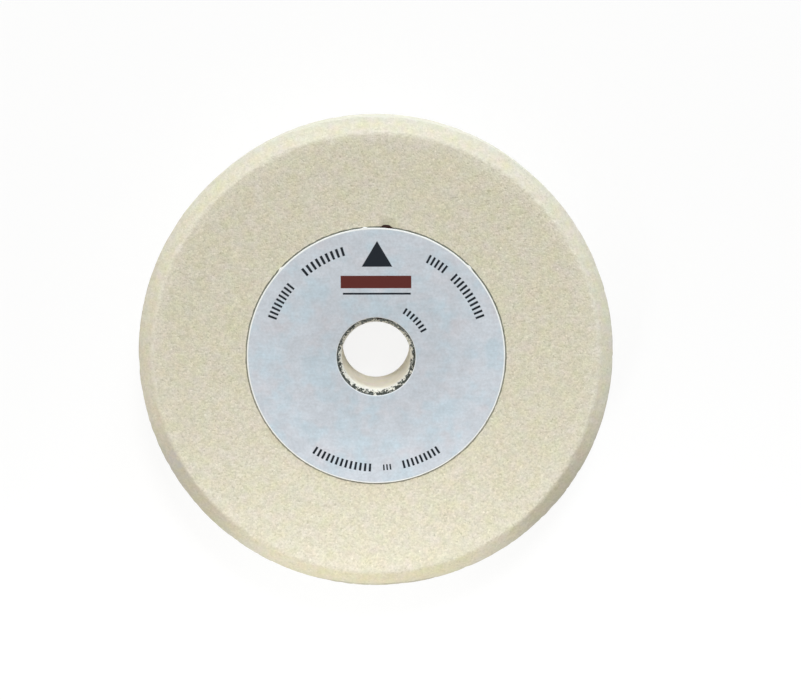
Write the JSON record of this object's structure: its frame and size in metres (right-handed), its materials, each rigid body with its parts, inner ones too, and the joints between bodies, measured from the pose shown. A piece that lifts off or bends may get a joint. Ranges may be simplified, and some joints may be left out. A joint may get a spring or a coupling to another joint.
{
  "type": "profiled grinding wheel",
  "caption": "Straight vitrified grinding wheel with a plain bore, a bevelled front corner and a round paper label on its flat front side.",
  "frame": {"origin": "middle of the bore at the wheel's flat back side, which it lies on", "axes": "+Z along the bore from the back side towards the labelled front side, +Y towards the top of the label's print, +X to its right"},
  "size_m": [0.175, 0.175, 0.0324],
  "materials": {
    "abrasive": "matt, gritty fired aluminium oxide grain, cream, with fine open pores and small glints",
    "label_paper": "smooth light grey-blue coated paper with a slight sheen"
  },
  "bodies": {
    "root": {"abrasive_wheel": "abrasive", "paper_label": "label_paper"}
  },
  "joints": []
}
